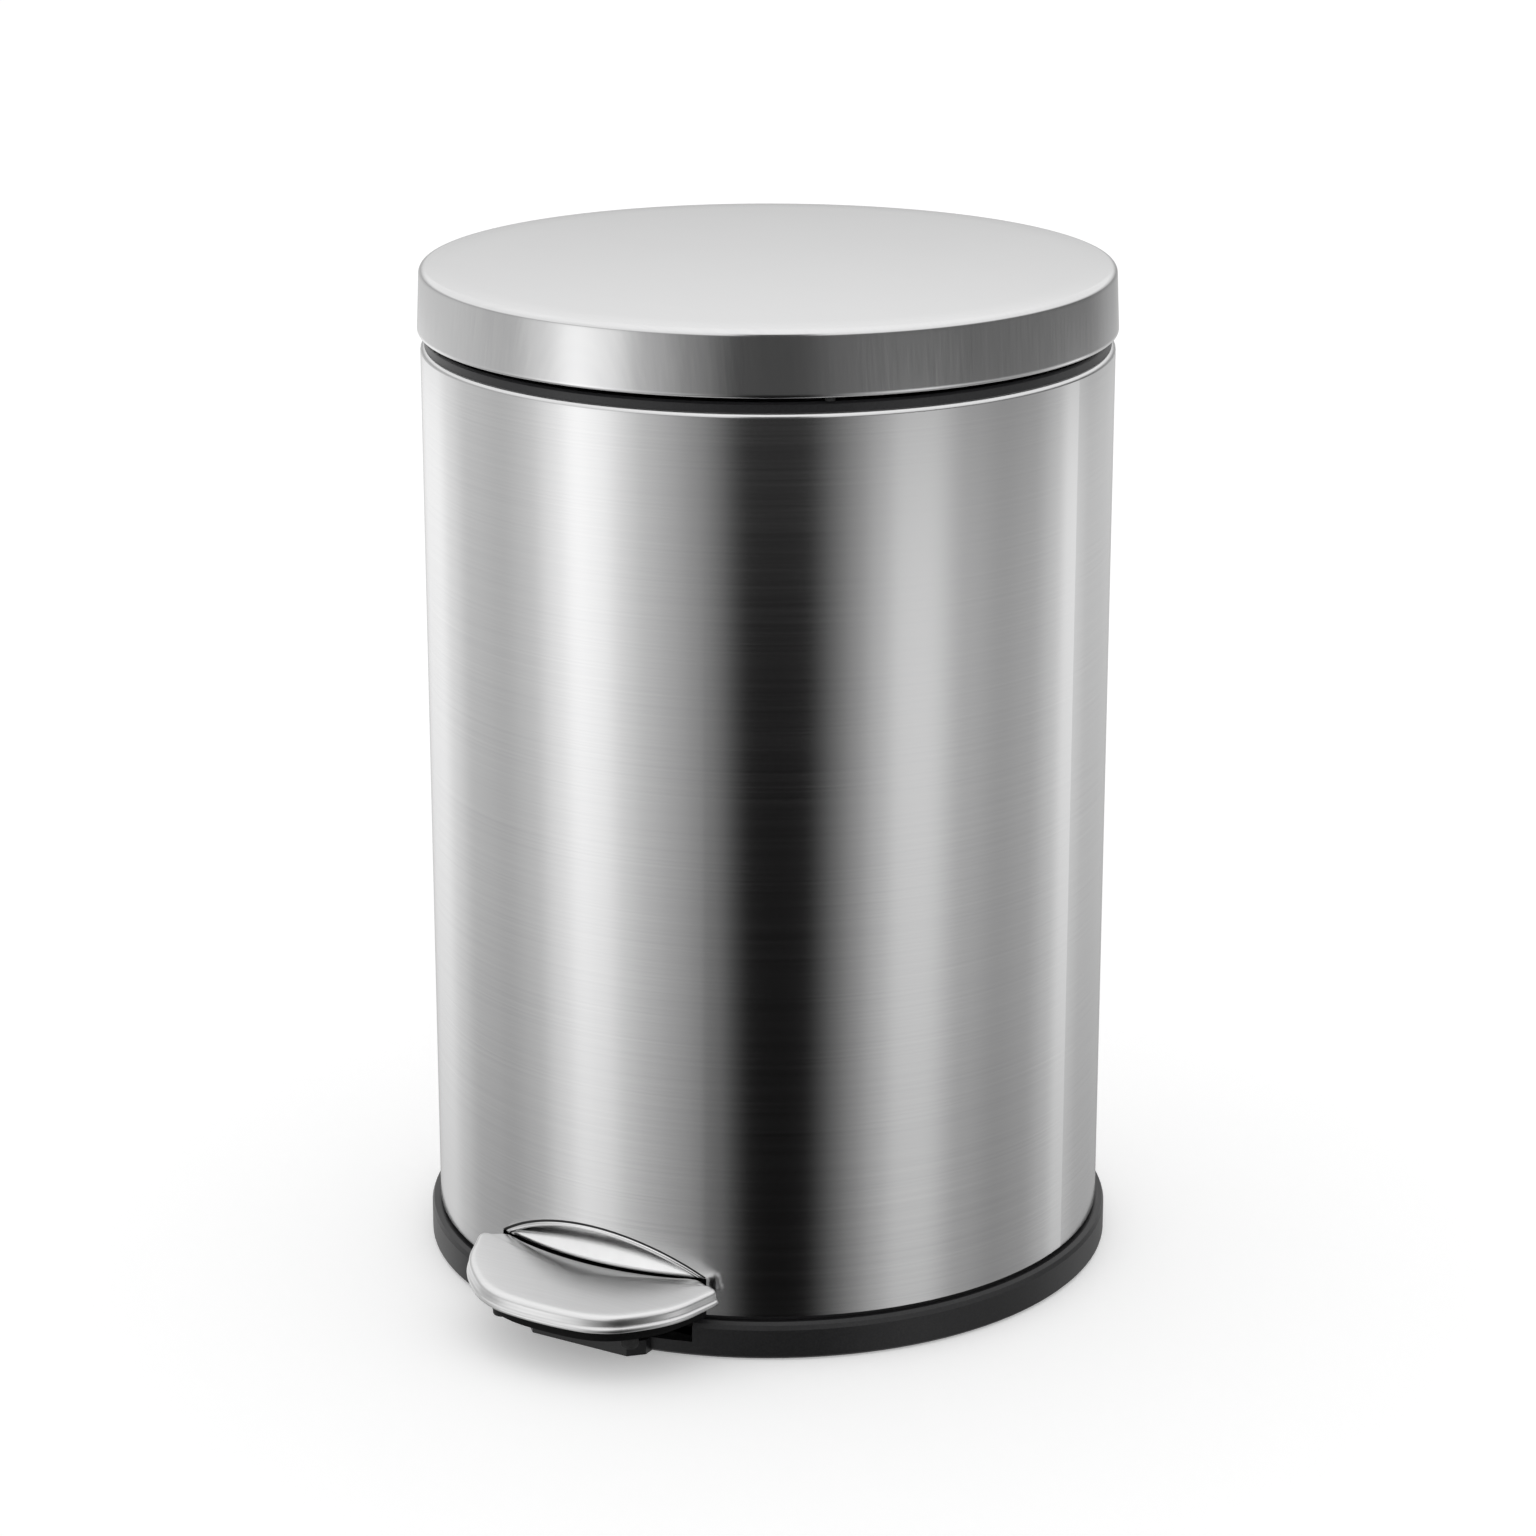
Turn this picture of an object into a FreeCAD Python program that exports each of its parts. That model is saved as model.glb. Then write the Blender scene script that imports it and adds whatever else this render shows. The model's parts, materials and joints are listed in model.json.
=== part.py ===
import FreeCAD, Part
import math
import os

# Round pedal bin. Millimetres, +Z up, the pedal towards -Y.
# The origin is on the axis of the body, at floor level.

Vector = FreeCAD.Vector
X = Vector(1, 0, 0)
Y = Vector(0, 1, 0)
Z = Vector(0, 0, 1)
CENTRE = Vector(0, 0, 0)

# Running and fitting clearances
shaft_clearance = 0.05
fit_clearance = 0.3
running_gap = 0.6
side_play = 1.5

# Body shell
body_radius = 125.0
body_wall = 0.8
body_bottom = 15.5
body_top = 342.8
rim_bead = 1.8

# Base
base_overhang = 3.3
base_lift = 0.5
base_height = 14.0
base_flange_top = 8.0
base_flange_width = 12.3
spigot_height = 12.0
spigot_wall = 2.5
base_notch_floor = 6.0
grip_ring_width = 7.0
grip_ring_thickness = 2.0
base_plate_thickness = 2.0
foot_half_width = 25.0
foot_reach = 9.0

# Pedal opening in the body, and the scoop over it
slot_half_width = 43.2
slot_top = 29.7
arch_top = 43.4
scoop_depth = 15.0
scoop_slope = 1.07
scoop_lip = 1.3
scoop_border = 2.4

# Pedal plate, measured outwards from the body's surface
pedal_height = 28.7
pedal_slope = 0.10
pedal_reach = 35.2
pedal_half_width = 49.4
pedal_rear_gap = 0.7
pedal_rear_half_width = 41.0
neck_side_gap = 5.2
neck_inside = 13.0
neck_outside = 5.0
neck_drop = 2.2
pedal_skirt = 6.2
pedal_sheet = 0.8
pedal_edge_radius = 2.4
core_depth = 12.0
core_inset = 4.0
pad_radius = 3.3
pad_across = 27.0
pad_out = 18.0
pad_floor_gap = 0.3

# Pedal lever and its axle
axle_inside = 55.0
axle_height = 21.0
axle_radius = 3.0
axle_half_length = 20.0
lever_half_width = 12.0
lever_depth = 8.0
lever_wall = 2.0
lever_front_inside = 21.0
tongue_length = 20.0
axle_bracket_wall = 2.5
axle_bracket_half_length = 10.0
clip_radius = 5.2
clip_thickness = 1.2

# Lift rod
rod_radius = 2.5
rod_wall_gap = 9.9
rod_head_half_thickness = 2.4
rod_head_margin = 2.6
pin_radius = 2.0
pin_play = 0.4
guide_heights = (95.0, 255.0)
guide_thickness = 8.0
guide_half_width = 9.0
guide_front = 5.6

# Damper beside the rod
damper_radius = 5.5
damper_length = 80.0
damper_across = 23.0
damper_wall = 1.0
piston_rod_radius = 2.0
yoke_thickness = 3.0
yoke_height = 60.0

# Lid
lid_gap = 5.1
lid_height = 24.0
lid_overhang = 1.0
lid_wall = 1.0
lid_edge_radius = 3.6
liner_wall = 1.6
liner_lip = 4.2
lid_angle = 75.0
bumper_radius = 2.6
bumper_height = 1.9

# Lid hinge
hinge_back = 7.0
hinge_drop = 2.8
hinge_pin_radius = 2.5
barrel_radius = 4.5
arm_half_width = 8.0
arm_slot_half_width = 3.2
arm_foot_half_width = 15.2
arm_foot_thickness = 4.0
hinge_ear_gap = 3.5
hinge_ear_wall = 3.0
hinge_ear_radius = 4.2
hinge_plate = 2.0
hinge_plate_half_width = 22.0
hinge_plate_drop = 20.0
cover_wall = 2.0
cover_half_width = 27.0
cover_depth = 21.0
cover_height = 35.0
cover_corner = 7.0

# Collar, bucket and bail
collar_height = 3.4
collar_ledge_depth = 5.5
collar_ledge_thickness = 3.0
collar_bore = 112.0
bucket_radius = 103.0
bucket_taper = 6.0
bucket_wall = 1.5
bucket_bottom = 54.0
bucket_flange_thickness = 2.0
bail_radius = 106.5
bail_wire = 2.0
bail_above_flange = 5.1
grip_radius = 4.5
grip_half_angle = 16.0
ear_thickness = 2.2
ear_half_length = 5.0

# Worked out from the sizes above
body_bore = body_radius - body_wall
base_radius = body_radius + base_overhang
plate_radius = body_bore - fit_clearance - spigot_wall - fit_clearance
plate_top = base_flange_top + base_plate_thickness
neck_half_width = slot_half_width - neck_side_gap
notch_half_width = neck_half_width + side_play + 0.5
axle_y = -(body_radius - axle_inside)
rod_y = body_bore - rod_wall_gap
hinge_y = body_radius + hinge_back
hinge_z = body_top - hinge_drop
half_swing = math.radians(lid_angle / 2)
crank_radius = 2 * (hinge_y - rod_y) / (1 + math.cos(half_swing))
damper_gap = 2 * running_gap
crank_pin_y = hinge_y - crank_radius * math.cos(half_swing)
crank_pin_z = hinge_z - crank_radius * math.sin(half_swing)
rod_lift = 2 * crank_radius * math.sin(half_swing)
damper_bottom = yoke_height + yoke_thickness + rod_lift + damper_gap
pedal_angle = rod_lift / (rod_y - axle_y)
slot_travel = crank_radius * (1 - math.cos(half_swing))
lever_top = axle_height + lever_depth / 2
lever_bottom = lever_top - lever_depth
lever_front_y = -(body_radius - lever_front_inside)
lever_end_y = rod_y + 2 * pin_radius + 1.6
lever_slot_travel = (rod_y - axle_y) * (1 - math.cos(pedal_angle))
lid_bottom = body_top + lid_gap
lid_radius = body_radius + lid_overhang
lid_top = lid_bottom + lid_height
collar_top = body_top + collar_height
ledge_top = body_top - collar_ledge_depth
flange_radius = collar_bore - 2 * fit_clearance
flange_top = ledge_top + bucket_flange_thickness
bail_height = flange_top + bail_above_flange
opening_half_width = arm_half_width + side_play + 0.5
ear_inner = arm_half_width + hinge_ear_gap
bracket_inner = lever_half_width + side_play


def box(x0, x1, y0, y1, z0, z1):
    return Part.makeBox(x1 - x0, y1 - y0, z1 - z0, Vector(x0, y0, z0))


def upright(radius, z0, z1, x=0.0, y=0.0):
    return Part.makeCylinder(radius, z1 - z0, Vector(x, y, z0), Z)


def crosswise(radius, x0, x1, y, z):
    return Part.makeCylinder(radius, x1 - x0, Vector(x0, y, z), X)


def ring(outer, inner, z0, z1):
    return upright(outer, z0, z1).cut(upright(inner, z0 - 1, z1 + 1))


def turned(profile):
    points = [Vector(r, 0, z) for r, z in profile]
    wire = Part.makePolygon(points + points[:1])
    return Part.Face(wire).revolve(CENTRE, Z, 360)


def plate_across(outline, x0, x1):
    """A flat plate with an outline of (y, z) points, from x0 to x1."""
    points = [Vector(x0, y, z) for y, z in outline]
    wire = Part.makePolygon(points + points[:1])
    return Part.Face(wire).extrude(X * (x1 - x0))


def both_sides(shape):
    return [shape, shape.mirror(CENTRE, X)]


def around(shape, angles):
    copies = []
    for angle in angles:
        copy = shape.copy()
        copy.rotate(CENTRE, Z, angle)
        copies.append(copy)
    return copies


def slot_across(radius, travel, x0, x1, y, z):
    """A slot along Y for a crosswise pin, with the pin's play added by the caller."""
    slot = box(x0, x1, y - travel / 2, y + travel / 2, z - radius, z + radius)
    slot = slot.fuse(crosswise(radius, x0, x1, y - travel / 2, z))
    return slot.fuse(crosswise(radius, x0, x1, y + travel / 2, z))


def arch_cylinder():
    """The arch over the pedal as a round bar along Y. It meets the slot's top at the slot's corners."""
    rise = arch_top - slot_top
    radius = (slot_half_width ** 2 + rise ** 2) / (2 * rise)
    start = Vector(0, -body_radius - 5, arch_top - radius)
    return Part.makeCylinder(radius, body_radius, start, Y)


# Body and base


def body_shell():
    wall = ring(body_radius, body_bore, body_bottom, body_top - rim_bead)
    bead = Part.makeTorus(body_radius - rim_bead, rim_bead, Vector(0, 0, body_top - rim_bead), Z)
    shell = wall.fuse(bead)
    slot = box(-slot_half_width, slot_half_width, -body_radius - 5, -body_radius / 2,
               body_bottom - 1, slot_top)
    above = box(-body_radius, body_radius, -body_radius - 5, -body_radius / 2, slot_top, arch_top + 5)
    arch = arch_cylinder().common(above)
    arm_notch = box(-opening_half_width, opening_half_width, body_radius / 2, body_radius + 5,
                    crank_pin_z - barrel_radius + 4, body_top + 1)
    return shell.cut(slot).cut(arch).cut(arm_notch)


def toe_recess():
    """A moulding behind the arch. Its floor rises inwards from the slot's top to the arch."""
    inner = body_bore - scoop_depth
    edge = slot_top - 0.3
    block = turned([
        (inner, slot_top - scoop_lip + 0.6),
        (body_bore, slot_top - scoop_lip + 0.6),
        (body_bore, arch_top + scoop_border),
        (inner, arch_top + scoop_border),
    ])
    reach = slot_half_width + scoop_border
    block = block.common(box(-reach, reach, -body_radius, 0, 0, body_top))
    above = turned([
        (body_radius + 1, edge - scoop_slope),
        (body_radius + 1, arch_top + 10),
        (inner - 1, arch_top + 10),
        (inner - 1, edge + scoop_slope * (body_radius - inner + 1)),
    ])
    return block.cut(above.common(arch_cylinder()))


def base_ring():
    spigot_outer = body_bore - fit_clearance
    profile = [
        (base_radius - base_flange_width, base_lift),
        (base_radius - 1.0, base_lift),
        (base_radius, base_lift + 1.0),
        (base_radius, base_height - 2.4),
        (base_radius - 0.7, base_height - 0.8),
        (base_radius - 2.2, base_height),
        (spigot_outer, base_height),
        (spigot_outer, base_height + spigot_height),
        (spigot_outer - spigot_wall, base_height + spigot_height),
        (spigot_outer - spigot_wall, base_flange_top),
        (base_radius - base_flange_width, base_flange_top),
    ]
    solid = turned(profile)
    foot = box(-foot_half_width, foot_half_width, -body_radius - foot_reach, -body_radius + 6,
               base_lift, base_notch_floor)
    corners = [e for e in foot.Edges if abs(e.tangentAt(0).z) > 0.9 and e.CenterOfMass.y < -body_radius]
    foot = foot.makeChamfer(5.0, corners)
    notch = box(-notch_half_width, notch_half_width, -base_radius - 5, -body_radius / 2,
                base_notch_floor, base_height + spigot_height + 1)
    groove = ring(grip_ring_outer(), grip_ring_outer() - grip_ring_width, 0, grip_ring_thickness)
    return solid.fuse(foot).cut(notch).cut(groove).removeSplitter()


def grip_ring_outer():
    return base_radius - 2.3


def anti_slip_ring():
    outer = grip_ring_outer()
    return ring(outer, outer - grip_ring_width, 0, grip_ring_thickness)


def base_plate():
    plate = upright(plate_radius, base_flange_top, plate_top)
    notch = box(-notch_half_width, notch_half_width, -body_radius, -body_radius + lever_front_inside - 8,
                base_flange_top - 1, plate_top + 1)
    plate = plate.cut(notch)
    for hole in around(upright(2.0, 0, plate_top + 1, 0, plate_radius - 3.5), base_screw_angles()):
        plate = plate.cut(hole)
    return plate


def base_screw_angles():
    return (55, 125, 235, 305)


def base_screws():
    head = upright(3.6, plate_top, plate_top + 2.2, 0, plate_radius - 3.5)
    shank = upright(2.0, base_flange_top, plate_top, 0, plate_radius - 3.5)
    return around(head.fuse(shank), base_screw_angles())


# Pedal


def pedal_side(reach, width):
    """Right half of the pedal's front edge, from the middle to the ear, as (x, outwards)."""
    shape = [(0.0, 1.0), (0.385, 0.952), (0.55, 0.856), (0.69, 0.702), (0.82, 0.508),
             (0.955, 0.115), (1.0, -0.04)]
    return [(width * a, reach * b) for a, b in shape]


def pedal_prism(inset, top, bottom):
    """The pedal's outline as a prism, moved in by inset, from top to bottom under the plate."""
    half_width = pedal_half_width - inset
    right = pedal_side(pedal_reach - inset, half_width)
    edge = [(-x, out) for x, out in reversed(right[1:])] + right
    front = Part.BSplineCurve()
    front.interpolate([Vector(x, -body_radius - out, 0) for x, out in edge])
    rear = body_radius + pedal_rear_gap + inset
    rear_x = pedal_rear_half_width - inset
    rear_y = -math.sqrt(rear ** 2 - rear_x ** 2)
    ear_y = -body_radius - right[-1][1]
    edges = [front.toShape()]
    edges.append(Part.Arc(Vector(-rear_x, rear_y, 0), Vector(0, -rear, 0), Vector(rear_x, rear_y, 0)).toShape())
    for side in (-1, 1):
        tip = Vector(side * (half_width - 2.1), ear_y + 3.0, 0)
        bend = Vector(side * (half_width - 0.5), ear_y + 1.8, 0)
        edges.append(Part.Arc(Vector(side * half_width, ear_y, 0), bend, tip).toShape())
        edges.append(Part.makeLine(tip, Vector(side * rear_x, rear_y, 0)))
    face = Part.Face(Part.Wire(Part.__sortEdges__(edges)))
    face.translate(Vector(0, 0, pedal_height + bottom))
    return face.extrude(Z * (top - bottom))


def sloped(shape):
    shape = shape.copy()
    shape.rotate(Vector(0, -body_radius, pedal_height), X, math.degrees(math.atan(pedal_slope)))
    return shape


def rounded_front(prism, radius, top):
    """Round the prism's top edge along the front and the sides of the pedal."""
    edges = []
    for edge in prism.Edges:
        flat = abs(edge.BoundBox.ZMax - pedal_height - top) < 0.01 and edge.BoundBox.ZLength < 0.01
        if flat and edge.BoundBox.YMin < -body_radius - pedal_reach / 2:
            edges.append(edge)
    return prism.makeFillet(radius, edges)


def neck(clearance):
    """The flat bar of the pedal's core that goes in through the slot."""
    half_width = neck_half_width + clearance
    top = slot_top - neck_drop + clearance
    return box(-half_width, half_width, -body_radius - neck_outside - clearance,
               -body_radius + neck_inside, lever_bottom + fit_clearance - clearance, top)


def pedal_cover():
    outside = rounded_front(pedal_prism(0, 0, -pedal_skirt), pedal_edge_radius, 0)
    hollow = pedal_prism(pedal_sheet, -pedal_sheet, -pedal_skirt - 1)
    hollow = rounded_front(hollow, pedal_edge_radius - pedal_sheet, -pedal_sheet)
    return sloped(outside.cut(hollow)).cut(neck(0.15))


def pedal_core():
    inset = pedal_sheet + 0.15
    upper = pedal_prism(inset, -inset, -pedal_skirt)
    upper = rounded_front(upper, pedal_edge_radius - pedal_sheet, -inset)
    lower = sloped(pedal_prism(core_inset, -pedal_skirt, -core_depth))
    lower = lower.cut(upright(base_radius + side_play, 0, arch_top))
    core = sloped(upper).fuse(lower)
    tongue = box(-lever_inner() + fit_clearance, lever_inner() - fit_clearance,
                 -body_radius + neck_inside, lever_front_y + tongue_length,
                 lever_bottom + fit_clearance, lever_top - lever_wall)
    core = core.fuse(neck(0)).fuse(tongue).removeSplitter()
    for x, y in pedal_screw_places():
        core = core.cut(upright(1.6, lever_bottom, lever_top, x, y))
    return core


def lever_inner():
    return lever_half_width - lever_wall


def pedal_screw_places():
    return ((0, lever_front_y + 5), (0, lever_front_y + 14))


def pedal_screws():
    screws = []
    for x, y in pedal_screw_places():
        head = upright(3.4, lever_top, lever_top + 2.0, x, y)
        screws.append(head.fuse(upright(1.6, lever_bottom + 1, lever_top, x, y)))
    return screws


def pad_bottom():
    out = body_radius + pad_out + axle_y
    drop = out * math.sin(pedal_angle)
    return axle_height + (pad_floor_gap - axle_height + drop) / math.cos(pedal_angle)


def pedal_pads():
    y = -body_radius - pad_out
    seat = pedal_height - core_depth
    pad = upright(pad_radius, pad_bottom(), seat, pad_across, y)
    return both_sides(pad.cut(pedal_core()))


def pedal_lever():
    lever = box(-lever_half_width, lever_half_width, lever_front_y, lever_end_y, lever_bottom, lever_top)
    inner = lever_inner()
    lever = lever.cut(box(-inner, inner, lever_front_y - 1, lever_end_y + 1,
                          lever_bottom - 1, lever_top - lever_wall))
    lever = lever.cut(crosswise(axle_radius + shaft_clearance, -lever_half_width - 1,
                                lever_half_width + 1, axle_y, axle_height))
    lever = lever.cut(slot_across(pin_radius + pin_play, 2 * lever_slot_travel + 0.6,
                                  -lever_half_width - 1, lever_half_width + 1, rod_y, axle_height))
    gap = rod_radius + running_gap
    reach = gap + lever_slot_travel + 1.0
    lever = lever.cut(box(-gap, gap, rod_y - reach, rod_y + reach, lever_top - lever_wall - 1, lever_top + 1))
    for x, y in pedal_screw_places():
        lever = lever.cut(upright(1.6, lever_bottom, lever_top + 1, x, y))
    return lever


def pedal_axle():
    return crosswise(axle_radius, -axle_half_length, axle_half_length, axle_y, axle_height)


def axle_brackets():
    outer = bracket_inner + axle_bracket_wall
    reach = axle_bracket_half_length
    cheek = box(bracket_inner, outer, axle_y - reach, axle_y + reach, plate_top, axle_height)
    cheek = cheek.fuse(crosswise(axle_radius + 4, bracket_inner, outer, axle_y, axle_height))
    foot = box(bracket_inner, outer + 12, axle_y - reach, axle_y + reach, plate_top, plate_top + 2)
    cheek = cheek.fuse(foot).removeSplitter()
    cheek = cheek.cut(crosswise(axle_radius + shaft_clearance, 0, outer + 5, axle_y, axle_height))
    return both_sides(cheek)


def bracket_rivets():
    x = bracket_inner + axle_bracket_wall + 6.5
    dome = upright(2.6, plate_top + 2, plate_top + 3.4, x, axle_y - 5)
    other = upright(2.6, plate_top + 2, plate_top + 3.4, x, axle_y + 5)
    return both_sides(dome) + both_sides(other)


def axle_clips():
    start = bracket_inner + axle_bracket_wall + 0.2
    clip = crosswise(clip_radius, start, start + clip_thickness, axle_y, axle_height)
    clip = clip.cut(crosswise(axle_radius, start - 1, start + 5, axle_y, axle_height))
    mouth = box(start - 1, start + 5, axle_y - 1.6, axle_y + 1.6, axle_height, axle_height + clip_radius + 1)
    return both_sides(clip.cut(mouth))


# Lift rod and damper


def lift_rod():
    head_front = rod_y - slot_travel / 2 - pin_radius - pin_play - rod_head_margin
    head_back = rod_y + slot_travel / 2 + pin_radius + pin_play + rod_head_margin
    head_reach = pin_radius + pin_play + rod_head_margin
    rod = upright(rod_radius, axle_height - pin_radius - 2.2, crank_pin_z - head_reach + 0.5, 0, rod_y)
    half = rod_head_half_thickness
    head = box(-half, half, head_front, head_back, crank_pin_z - head_reach, crank_pin_z + head_reach)
    head = head.makeFillet(2.2, [e for e in head.Edges if abs(e.tangentAt(0).x) > 0.9])
    rod = rod.fuse(head)
    rod = rod.cut(slot_across(pin_radius + pin_play, slot_travel, -half - 1, half + 1, rod_y, crank_pin_z))
    return rod.cut(crosswise(pin_radius, -rod_radius - 1, rod_radius + 1, rod_y, axle_height))


def rod_foot_pin():
    reach = lever_half_width + 2
    pin = crosswise(pin_radius, -reach, reach, rod_y, axle_height)
    for end in (-reach - 1.2, reach):
        pin = pin.fuse(crosswise(pin_radius + 1.4, end, end + 1.2, rod_y, axle_height))
    return pin.removeSplitter()


def rod_guides():
    guides = []
    bore = upright(rod_radius + shaft_clearance, 0, body_top, 0, rod_y)
    for height in guide_heights:
        block = box(-guide_half_width, guide_half_width, rod_y - guide_front, body_radius,
                    height, height + guide_thickness)
        block = block.common(upright(body_bore, height, height + guide_thickness))
        guides.append(block.cut(bore))
    return guides


def damper_y():
    return math.sqrt((rod_y - 0.3) ** 2 - damper_across ** 2)


def damper_cylinder():
    top = damper_bottom + damper_length
    tube = upright(damper_radius, damper_bottom, top, damper_across, damper_y())
    hollow = upright(damper_radius - damper_wall, damper_bottom + 2, top - 2, damper_across, damper_y())
    hole = upright(piston_rod_radius + shaft_clearance, damper_bottom - 1, damper_bottom + 3,
                   damper_across, damper_y())
    return tube.cut(hollow).cut(hole)


def damper_piston():
    start = yoke_height + yoke_thickness
    middle = damper_bottom + damper_length / 2
    rod = upright(piston_rod_radius, start, middle, damper_across, damper_y())
    disc = upright(damper_radius - damper_wall - 0.2, middle, middle + 5, damper_across, damper_y())
    return rod.fuse(disc)


def damper_yoke():
    y = damper_y()
    width = rod_radius + 2.5
    hub = upright(width, yoke_height, yoke_height + yoke_thickness, 0, rod_y)
    pad = upright(piston_rod_radius + 2.5, yoke_height, yoke_height + yoke_thickness, damper_across, y)
    run = math.hypot(damper_across, rod_y - y)
    link = box(0, run, -3.2, 3.2, yoke_height, yoke_height + yoke_thickness)
    link.rotate(CENTRE, Z, math.degrees(math.atan2(y - rod_y, damper_across)))
    link.translate(Vector(0, rod_y, 0))
    yoke = hub.fuse(pad).fuse(link)
    return yoke.cut(upright(rod_radius, 0, body_top, 0, rod_y)).removeSplitter()


def damper_clips():
    clips = []
    reach = damper_radius + 1.6
    for height in (damper_bottom + 10, damper_bottom + damper_length - 16):
        block = upright(reach, height, height + 6, damper_across, damper_y())
        tie = box(damper_across - 4, damper_across + 4, damper_y(), body_radius, height, height + 6)
        block = block.fuse(tie).common(upright(body_bore, height, height + 6))
        clips.append(block.cut(upright(damper_radius, 0, body_top, damper_across, damper_y())))
    return clips


# Collar, bucket and bail


def top_ring():
    outer = body_radius - 2 * rim_bead - 0.4
    lip = body_radius - 1.4
    profile = [
        (bucket_radius + 1.5, ledge_top - collar_ledge_thickness),
        (outer, ledge_top - collar_ledge_thickness),
        (outer, body_top),
        (lip, body_top),
        (lip, collar_top - 0.8),
        (lip - 0.8, collar_top),
        (collar_bore + 1.0, collar_top),
        (collar_bore, collar_top - 1.0),
        (collar_bore, ledge_top),
        (bucket_radius + 1.5, ledge_top),
    ]
    gap = opening_half_width + 1
    notch = box(-gap, gap, body_radius / 2, body_radius + 5, ledge_top - 10, collar_top + 1)
    return turned(profile).cut(notch)


def bucket_ear(side):
    inner = bucket_radius - bucket_wall + 0.2
    ear = box(inner, inner + ear_thickness, -ear_half_length, ear_half_length, flange_top - 1, bail_height)
    ear = ear.fuse(crosswise(ear_half_length, inner, inner + ear_thickness, 0, bail_height))
    ear = ear.cut(crosswise(bail_wire + shaft_clearance, inner - 1, inner + 5, 0, bail_height))
    return ear if side > 0 else ear.mirror(CENTRE, X)


def inner_bucket():
    low = bucket_radius - bucket_taper
    profile = [
        (0, bucket_bottom),
        (low - 3, bucket_bottom),
        (low, bucket_bottom + 3),
        (bucket_radius, ledge_top - 1.0),
        (bucket_radius, ledge_top),
        (flange_radius, ledge_top),
        (flange_radius, flange_top),
        (bucket_radius - bucket_wall, flange_top),
        (bucket_radius - bucket_wall, ledge_top - 1.0),
        (low - bucket_wall, bucket_bottom + 3.6),
        (low - bucket_wall - 2.4, bucket_bottom + bucket_wall),
        (0, bucket_bottom + bucket_wall),
    ]
    gap = opening_half_width + 4
    rear = box(-gap, gap, bucket_radius + 0.3, body_radius, ledge_top - 1, flange_top + 1)
    bucket = turned(profile).cut(rear)
    return bucket.fuse(bucket_ear(1)).fuse(bucket_ear(-1)).removeSplitter()


def bail_path(half_angle):
    """An arc of the bail's circle round the front of the bucket, half_angle each side."""
    ends = []
    for angle in (-90 - half_angle, -90, -90 + half_angle):
        a = math.radians(angle)
        ends.append(Vector(bail_radius * math.cos(a), bail_radius * math.sin(a), bail_height))
    return Part.Arc(*ends).toShape()


def tube_along(edge, radius):
    start = edge.valueAt(edge.FirstParameter)
    circle = Part.makeCircle(radius, start, edge.tangentAt(edge.FirstParameter))
    return Part.Wire([edge]).makePipeShell([Part.Wire([circle])], True, False)


def bail_handle():
    wire = tube_along(bail_path(90), bail_wire)
    inner = bucket_radius - bucket_wall - 1.5
    knuckle = Part.makeSphere(bail_wire, Vector(bail_radius, 0, bail_height))
    stub = crosswise(bail_wire, inner, bail_radius, 0, bail_height)
    for piece in both_sides(knuckle) + both_sides(stub):
        wire = wire.fuse(piece)
    return wire


def bail_grip():
    path = bail_path(grip_half_angle)
    return tube_along(path, grip_radius).cut(tube_along(bail_path(grip_half_angle + 2), bail_wire))


# Lid and hinge


def lid_profile(inset, bottom):
    """Half section of the lid's outside, moved in by inset, as a closed face about the axis."""
    radius = lid_radius - inset
    edge = lid_edge_radius - inset * 0.7
    top = lid_top - inset
    swing = math.pi / 4
    side = Part.makeLine(Vector(radius, 0, bottom), Vector(radius, 0, top - edge))
    middle = Vector(radius - edge + edge * math.cos(swing), 0, top - edge + edge * math.sin(swing))
    corner = Part.Arc(Vector(radius, 0, top - edge), middle, Vector(radius - edge, 0, top)).toShape()
    crown = Part.makeLine(Vector(radius - edge, 0, top), Vector(0, 0, top))
    axis = Part.makeLine(Vector(0, 0, top), Vector(0, 0, bottom))
    floor = Part.makeLine(Vector(0, 0, bottom), Vector(radius, 0, bottom))
    return Part.Face(Part.Wire([side, corner, crown, axis, floor])).revolve(CENTRE, Z, 360)


def lid_shell():
    return lid_profile(0, lid_bottom).cut(lid_profile(lid_wall, lid_bottom - 1))


def liner_bottom():
    return lid_bottom + 0.7


def liner_inset():
    return lid_wall + 0.2


def lid_liner():
    outside = lid_profile(liner_inset(), liner_bottom())
    hollow = lid_profile(liner_inset() + liner_wall, liner_bottom() + liner_wall)
    mouth = upright(lid_radius - liner_inset() - liner_lip, liner_bottom() - 1, liner_bottom() + 3)
    return outside.cut(hollow).cut(mouth)


def liner_underside():
    return lid_top - liner_inset() - liner_wall


def lid_bumpers():
    radius = lid_radius - liner_inset() - liner_lip / 2
    bottom = collar_top + fit_clearance
    bumper = upright(bumper_radius * 0.7, bottom, liner_bottom(), 0, -radius)
    return around(bumper, (40, 140, 220, 320))


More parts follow.
